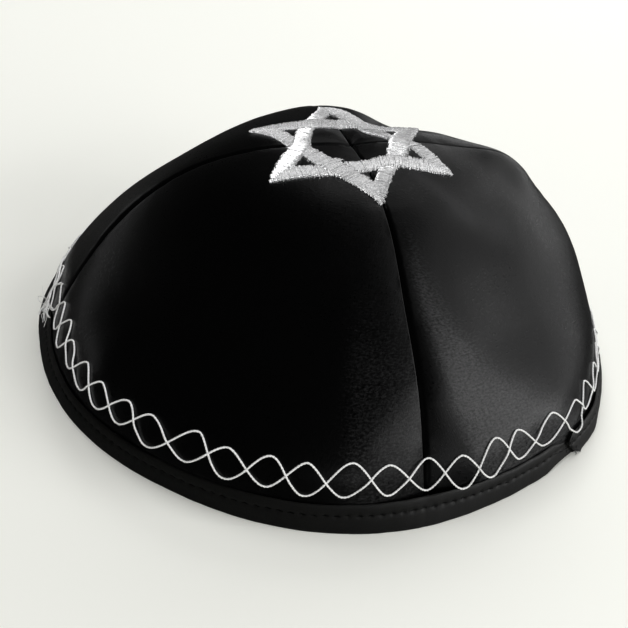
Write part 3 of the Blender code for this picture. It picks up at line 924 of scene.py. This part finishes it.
# The sewn star isn't quite regular. Each row is a place on the even star (azimuth,
# mm from the crossing of the seams) and how far it was sewn off it.
TugRow = namedtuple("TugRow", "azimuth radius to_front to_right")
TUGS = [TugRow(*r) for r in (
    (0, 28, 1.2, -0.6), (60, 28, 3.5, -2.1), (120, 28, -0.1, 0.0),
    (180, 28, -0.8, -0.5), (240, 28, 1.6, -0.9), (300, 28, 3.5, -1.2),
    (30, 16.2, 1.0, -0.5), (90, 16.2, 0.7, 0.0), (150, 16.2, -0.2, -0.6),
    (210, 16.2, -0.4, -0.5), (270, 16.2, 1.7, -0.4), (330, 16.2, 4.0, -1.3),
    (30, 10, -0.2, 1.3), (90, 10, -0.5, -0.3), (150, 10, -0.2, -1.3),
    (210, 10, 1.2, -2.8), (270, 10, 2.4, -1.1), (330, 10, 2.9, -0.9),
    (0, 17, 2.1, 0.0), (60, 17, 1.5, 0.4), (120, 17, 4.0, -1.6),
    (180, 17, -3.4, 0.1), (240, 17, 1.2, -0.9), (300, 17, 3.3, -2.0))]
TUG_REACH = 8.0
TUG_AT = np.array([[t.radius * math.cos(math.radians(t.azimuth)),
                    t.radius * math.sin(math.radians(t.azimuth))] for t in TUGS])


def near_tugs(xy):
    d = ((xy[..., None, :] - TUG_AT) ** 2).sum(-1)
    return np.exp(-0.5 * d / TUG_REACH ** 2)


TUG_PULL = np.linalg.solve(near_tugs(TUG_AT) + 0.02 * np.eye(len(TUGS)),
                           np.array([[t.to_front, t.to_right] for t in TUGS]))


def on_cap(x, y, h):
    """Star plane (x to the front point, y to the right) onto the cap."""
    xy = np.stack(np.broadcast_arrays(np.asarray(x, float), np.asarray(y, float)), -1)
    xy = xy + near_tugs(xy) @ TUG_PULL
    x, y = xy[..., 0], xy[..., 1]
    az = np.degrees(np.arctan2(y, x)) % 360
    return lifted(az, np.hypot(x, y) / LENGTH, h, span=1.0)[0]


def star_strands():
    """Satin stitches across every bar: under at its first crossing, over at its second."""
    g = np.random.default_rng(51)
    paths, radii = [], []
    pitch = 0.235
    w = np.array([0, .03, .10, .25, .5, .75, .90, .97, 1.0])
    crown = np.array([0.0, .74, .95, 1.0, 1.0, 1.0, .95, .74, 0.0])
    for i in range(6):
        mid = 60 + 60 * i          # azimuth of the bar's middle; it runs mid-60 to mid+60
        n = np.array([math.cos(math.radians(mid)), math.sin(math.radians(mid))])
        d = np.array([-n[1], n[0]])
        # the bar that crosses on top of this one, and the one that goes below it
        above, below = ([math.cos(math.radians(mid + k)), math.sin(math.radians(mid + k))]
                        for k in (-60, 60))
        above, below = np.array(above), np.array(below)
        x = -OUT_EDGE * TAN60 + 0.12
        lean = 0.0
        while x < OUT_EDGE * TAN60 - 0.1:
            lo, hi = max(IN_EDGE, abs(x) / TAN60), OUT_EDGE
            spans = [(lo, hi)]
            a, b = x * (d @ above), n @ above
            y0, y1 = sorted(((IN_EDGE + 0.12 - a) / b, (OUT_EDGE - 0.12 - a) / b))
            point = x * d + min(max((lo + hi) / 2, y0), y1) * n
            along = abs(point @ np.array([-above[1], above[0]]))
            if along < OUT_EDGE * TAN60 and y1 > lo and y0 < hi:
                spans = [(p, q) for p, q in ((lo, y0), (y1, hi)) if q > p]
            lean = 0.8 * lean + 0.045 * g.normal()
            for p, q in spans:
                if q - p < 0.22:
                    continue
                c = x * d + (p + q) / 2 * n
                across = abs(c @ np.array([-below[1], below[0]]))
                over = (IN_EDGE - 0.6 < c @ below < OUT_EDGE + 0.6) and across < OUT_EDGE * TAN60
                mitre = p > IN_EDGE + 1e-6 and p == lo
                p2 = p - 0.02 + (-0.25 if mitre else 0.05 if p > IN_EDGE + 1e-6
                                 else g.normal() * 0.20)
                q2 = q + 0.02 + g.normal() * 0.20
                if i == 4 and p <= IN_EDGE + 1e-6:      # a small knot on the inner edge
                    p2 -= 0.8 * math.exp(-((x - 4.5) / 0.9) ** 2)
                yy = p2 + (q2 - p2) * w
                xx = x + g.normal() * 0.04 + lean * (w - 0.5) + 0.11 * g.normal() * (w - 0.5)
                short = min(1.0, (q2 - p2) / 1.6)
                rise = np.where((w < 0.2) & mitre, np.maximum(crown, 0.8), crown)
                h = 0.05 + (0.40 * short + (0.20 if over else 0.0) + 0.05 * g.normal()) * rise
                paths.append(np.column_stack([xx[:, None] * d + yy[:, None] * n, h]))
                start = [.12, .13, .135] if mitre else [.06, .10, .13]
                radii.append(start + [.135, .135, .135, .13, .10, .06])
            x += pitch * (1 + 0.11 * g.normal())
    p = np.array(paths)
    pts = on_cap(p[..., 0], p[..., 1], p[..., 2])
    return tubes(pts, np.array(radii), 5)


verts, faces = star_strands()
star = add_mesh("star_stitches", verts, faces, STAR_THREAD)


def star_pad():
    """The underlay of the embroidery: six flat bars, joined, just over the cloth."""
    parts = []
    for i in range(6):
        mid = math.radians(60 + 60 * i)
        n = np.array([math.cos(mid), math.sin(mid)])
        d = np.array([-n[1], n[0]])
        y = np.linspace(IN_EDGE + 0.22, OUT_EDGE - 0.22, 8)
        v = np.linspace(-1, 1, 71)
        yy, vv = np.meshgrid(y, v)
        xx = vv * (yy * TAN60 - 0.5)
        flat = xx[..., None] * d + yy[..., None] * n
        level = 0.30 if i % 2 else 0.33
        edge = np.clip(0.45 + 1.4 * np.minimum(yy - y[0], y[-1] - yy), 0, 1)
        top = on_cap(flat[..., 0], flat[..., 1], 0.02 + level * edge)
        low = on_cap(flat[..., 0], flat[..., 1], np.full(yy.shape, -0.05))
        a, b = yy.shape
        half = a * b
        g = grid_faces(a, b)
        faces = [f for f in g] + [f[::-1] + half for f in g]
        for r in range(a - 1):
            faces.append([r * b, r * b + half, (r + 1) * b + half, (r + 1) * b][::-1])
            e = b - 1
            faces.append([r * b + e, r * b + e + half, (r + 1) * b + e + half, (r + 1) * b + e])
        for c in range(b - 1):
            faces.append([c, c + 1, c + 1 + half, c + half][::-1])
            z = (a - 1) * b
            faces.append([z + c, z + c + 1, z + c + 1 + half, z + c + half])
        parts.append((np.concatenate([top.reshape(-1, 3), low.reshape(-1, 3)]), faces))
    v, f = join(parts)
    return add_mesh("star_underlay", v, f, STAR_PAD)


pad = star_pad()
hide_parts("star_embroidery")

# ------------------------------------------------------------------ loose ends
def loose_ends():
    """The frayed white ends at the left seam's foot, and black ones at the binding's cut."""
    g = np.random.default_rng(61)
    white, black = [], []

    def strand(rows, r=0.2):
        k = np.array(rows, float)
        t = np.linspace(0, len(k) - 1, 26)
        c = smooth(np.arange(len(k)), k, t)
        return lifted(c[:, 0], c[:, 1], c[:, 2])[0], r

    # (azimuth, level, height) along each loose thread
    for rows, r in (
        ([(-93.7, .842, .4), (-95.8, .864, .6), (-98.0, .896, .7), (-97.4, .908, .9),
          (-94.9, .918, 1.0), (-93.4, .932, 1.1)], .27),
        ([(-91.7, .906, .5), (-93.2, .915, .8), (-94.6, .926, 1.1), (-95.8, .940, 1.4)], .27),
        ([(-106, .862, .7), (-100, .856, .8), (-96.8, .864, .9), (-97.0, .897, 1.0),
          (-95.3, .908, 1.1), (-95.4, .932, 1.3), (-96.3, .957, 1.4), (-95.6, .971, 1.6)], .25),
        ([(-105, .858, .6), (-102, .860, .8), (-100.5, .869, .9), (-98, .880, .9),
          (-97.7, .908, 1.0), (-96.4, .926, 1.2), (-96.8, .948, 1.2), (-95.9, .972, 1.3)], .18),
        ([(-94.5, .928, 1.0), (-97.5, .950, 1.5), (-99.5, .966, 2.0), (-100.0, .958, 2.6),
          (-98.0, .936, 2.3), (-95.8, .917, 1.3)], .09),
        ([(-92.6, .909, .9), (-92.1, .926, 1.1), (-90.0, .921, .9)], .14),
        ([(-93.2, .922, .9), (-93.0, .929, 1.2), (-90.7, .928, 1.0)], .12),
        ([(-94.5, .928, 1.0), (-94.0, .938, 1.3), (-93.5, .946, 1.2), (-92.8, .949, 1.1)], .14),
        ([(-92.6, .909, .8), (-97.5, .932, 1.6), (-100.5, .940, 2.2), (-100.9, .930, 2.6)], .06),
    ):
        white.append(strand(rows, r))
    for i in range(12):
        a = -94.6 + g.normal() * 0.8
        q = .931 + g.normal() * .006
        rows = [(a, q, .9)]
        da, dq = g.normal() * 1.2 + 0.6, g.normal() * 0.003 + 0.004
        for k in range(1, 4):
            rows.append((a + da * k * 0.6 + g.normal() * 0.25, q + dq * k + g.normal() * 0.002,
                         .9 + k * abs(g.normal()) * 0.30))
        white.append(strand(rows, 0.055))
    for i in range(26):
        v = g.uniform(0.35, 1.0) if i % 3 else g.uniform(0.0, 0.35)
        a = float(np.interp(0.0705 * v, [r.below for r in CUT_LINE], [r.azimuth for r in CUT_LINE]))
        q = BAND_TOP + 0.0705 * v
        reach = g.uniform(0.3, 0.9) * (1.7 if v > 0.85 else 1.0)
        rows = [(a + 0.4, q, 1.15)]
        da, dq = -abs(g.normal()) * 0.25 - 0.2, g.normal() * 0.0025
        for k in range(1, 4):
            rows.append((a + da * k * reach, min(q + dq * k, 0.994), 1.15 + g.normal() * 0.18))
        black.append(strand(rows, 0.045))
    parts = [long_tube(p, r, 6)[:2] for p, r in white]
    v, f = join(parts)
    w = add_mesh("loose_white_ends", v, f, WHITE_THREAD)
    parts = [long_tube(p, r, 5)[:2] for p, r in black]
    v, f = join(parts)
    b = add_mesh("cut_edge_fray", v, f, BLACK_THREAD)
    return w, b


white_ends, fray = loose_ends()

# ------------------------------------------------------------------ riding
for obj in pieces.values():
    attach(obj, "root")

# ------------------------------------------------------------------ stage
def stage_material(name, color, rough=0.9):
    mat, nodes, links, bsdf = new_material(name)
    bsdf.inputs["Base Color"].default_value = (*color, 1)
    bsdf.inputs["Roughness"].default_value = rough
    bsdf.inputs["Specular IOR Level"].default_value = 0.2
    return mat


def plane(name, size, z, mat):
    mesh = bpy.data.meshes.new(name)
    h = size / 2
    mesh.from_pydata([(-h, -h, z), (h, -h, z), (h, h, z), (-h, h, z)], [], [(0, 1, 2, 3)])
    mesh.materials.append(mat)
    obj = bpy.data.objects.new(name, mesh)
    bpy.context.scene.collection.objects.link(obj)
    return obj


floor = plane("floor", 4.4, 0.0, stage_material("floor_white", (0.90, 0.903, 0.846)))
floor.visible_glossy = False

star_set = bpy.data.collections.new("lit_star")
wave_set = bpy.data.collections.new("lit_waves")
object_set = bpy.data.collections.new("lit_object")
band_set = bpy.data.collections.new("lit_binding")
floor_set = bpy.data.collections.new("lit_floor")
for name, obj in pieces.items():
    object_set.objects.link(obj)
for name in ("star_stitches", "star_underlay"):
    star_set.objects.link(pieces[name])
for name in ("wave_thread_a", "wave_thread_b", "loose_white_ends"):
    wave_set.objects.link(pieces[name])
floor_set.objects.link(floor)
for name in ("binding", "running_stitch", "cut_edge_fray"):
    band_set.objects.link(pieces[name])


def softbox(name, azimuth, elevation, distance, width, height, watts, color=(1, 1, 1), only=None):
    """An area light that looks at the cap. Azimuth is counted from the front seam."""
    data = bpy.data.lights.new(name, "AREA")
    data.shape = "RECTANGLE"
    data.size, data.size_y = width, height
    data.energy = watts
    data.color = color
    obj = bpy.data.objects.new(name, data)
    bpy.context.scene.collection.objects.link(obj)
    a, e = math.radians(azimuth), math.radians(elevation)
    way = Vector((math.sin(a) * math.cos(e), -math.cos(a) * math.cos(e), math.sin(e)))
    target = Vector((0, 0, 0.03))
    obj.location = target + way * distance
    obj.rotation_mode = "QUATERNION"
    obj.rotation_quaternion = (-way).to_track_quat("-Z", "Y")
    obj.visible_camera = False
    if only is not None:
        obj.light_linking.receiver_collection = only
    return obj


# A bright card low at the right, a dim wall over and behind it, low strips, and a
# room that is darker still. The threads and the floor have lights of their own.
LightRow = namedtuple("LightRow", "name azimuth elevation distance width height watts receivers")
LIGHTS = [LightRow(*r) for r in (
    ("card_right", 60, 12, 1.5, 1.00, 0.75, 2.0, object_set),
    ("card_small", 58, 24, 1.5, 0.40, 0.30, 0.5, object_set),
    ("wall_right", 92, 44, 1.5, 2.00, 0.95, 2.4, object_set),
    ("wall_back_right", 120, 14, 1.5, 2.10, 0.64, 1.35, object_set),
    ("strip_front", 18, 2, 1.5, 1.24, 0.16, 0.6, object_set),
    ("strip_middle", 64, 2, 1.5, 1.40, 0.16, 0.9, object_set),
    ("strip_right", 122, 2, 1.5, 1.90, 0.16, 0.8, object_set),
    ("front_right", 33, 21, 1.5, 0.64, 0.31, 0.5, object_set),
    ("back", 152, 48, 1.5, 0.55, 0.66, 0.4, object_set),
    ("strip_left", -134, 2, 1.5, 1.40, 0.14, 0.32, object_set),
    ("band_right", 62, 8, 1.5, 1.20, 0.50, 6.0, band_set),
    ("wave_front", 5, 42, 1.5, 1.2, 1.0, 18.0, wave_set),
    ("wave_back", 170, 50, 1.5, 1.2, 1.0, 14.0, wave_set),
    ("star_left", -85, 36, 1.5, 0.8, 0.8, 21.0, star_set),
    ("star_front", 5, 15, 1.5, 0.9, 0.9, 3.8, star_set),
    ("star_right", 105, 14, 1.5, 0.9, 0.9, 3.0, star_set),
    ("star_back", -172, 40, 1.5, 0.9, 0.9, 4.4, star_set),
    ("star_rear", 140, 45, 1.5, 0.6, 0.6, 1.6, star_set),
    ("star_rear_low", 180, 10, 1.5, 0.6, 0.6, 1.0, star_set),
    ("star_top", -60, 75, 1.5, 0.9, 0.9, 3.4, star_set),
    ("floor_front_right", 30, 15, 2.0, 0.9, 0.9, 19.5, floor_set),
    ("floor_right", 60, 15, 2.0, 0.9, 0.9, 15.0, floor_set),
    ("floor_back_right", 120, 15, 2.0, 0.9, 0.9, 12.5, floor_set),
    ("floor_back", 152, 15, 2.0, 0.9, 0.9, 9.5, floor_set),
    ("floor_back_left", -125, 15, 2.0, 0.9, 0.9, 3.6, floor_set),
    ("floor_left", -60, 15, 2.0, 0.9, 0.9, 2.0, floor_set),
    ("floor_high_right", 62, 38, 2.0, 0.9, 0.9, 7.2, floor_set),
    ("floor_high_back", 165, 42, 2.0, 0.9, 0.9, 8.7, floor_set),
    ("floor_over_back", -150, 65, 2.0, 0.9, 0.9, 7.9, floor_set),
    ("floor_over_left", -60, 65, 2.0, 0.9, 0.9, 11.5, floor_set))]
for r in LIGHTS:
    softbox(r.name, r.azimuth, r.elevation, r.distance, r.width, r.height, r.watts,
            only=r.receivers)

world = bpy.data.worlds.new("studio")
bpy.context.scene.world = world
world.use_nodes = True
nodes, links = world.node_tree.nodes, world.node_tree.links
dim = nodes["Background"]
dim.inputs["Color"].default_value = (1, 1, 1, 1)
dim.inputs["Strength"].default_value = 0.012
# past the floor's edge the studio is as pale as the floor, but gives no more light
pale = node(nodes, "ShaderNodeBackground", Strength=1.0)
pale.inputs["Color"].default_value = (0.90, 0.903, 0.846, 1)
seen = node(nodes, "ShaderNodeLightPath")
either = node(nodes, "ShaderNodeMixShader")
links.new(seen.outputs["Is Camera Ray"], either.inputs[0])
links.new(dim.outputs[0], either.inputs[1])
links.new(pale.outputs[0], either.inputs[2])
links.new(either.outputs[0], nodes["World Output"].inputs["Surface"])

view = bpy.context.scene.view_settings
view.view_transform = "Standard"
view.look = "None"
view.exposure = 0.0
view.gamma = 1.0

# ------------------------------------------------------------------ camera
camera = bpy.data.cameras.new("photo_camera")
camera.sensor_width = 36.0
camera.lens = 36.0 * 806.0 / 628.0
camera.clip_start, camera.clip_end = 0.01, 50.0
eye = bpy.data.objects.new("photo_camera", camera)
bpy.context.scene.collection.objects.link(eye)
spot = np.array([-65.366, -185.837, 142.889]) + SHIFT
right = Vector((0.96502, -0.24386, 0.09629)).normalized()
ahead = Vector((0.25363, 0.77523, -0.57853)).normalized()
up = right.cross(ahead).normalized()
right = ahead.cross(up)
eye.matrix_world = Matrix((
    (right.x, up.x, -ahead.x, spot[0] * MM),
    (right.y, up.y, -ahead.y, spot[1] * MM),
    (right.z, up.z, -ahead.z, spot[2] * MM),
    (0, 0, 0, 1)))
bpy.context.scene.camera = eye

print("triangles", {n: sum(len(p.vertices) - 2 for p in o.data.polygons)
                    for n, o in pieces.items()})
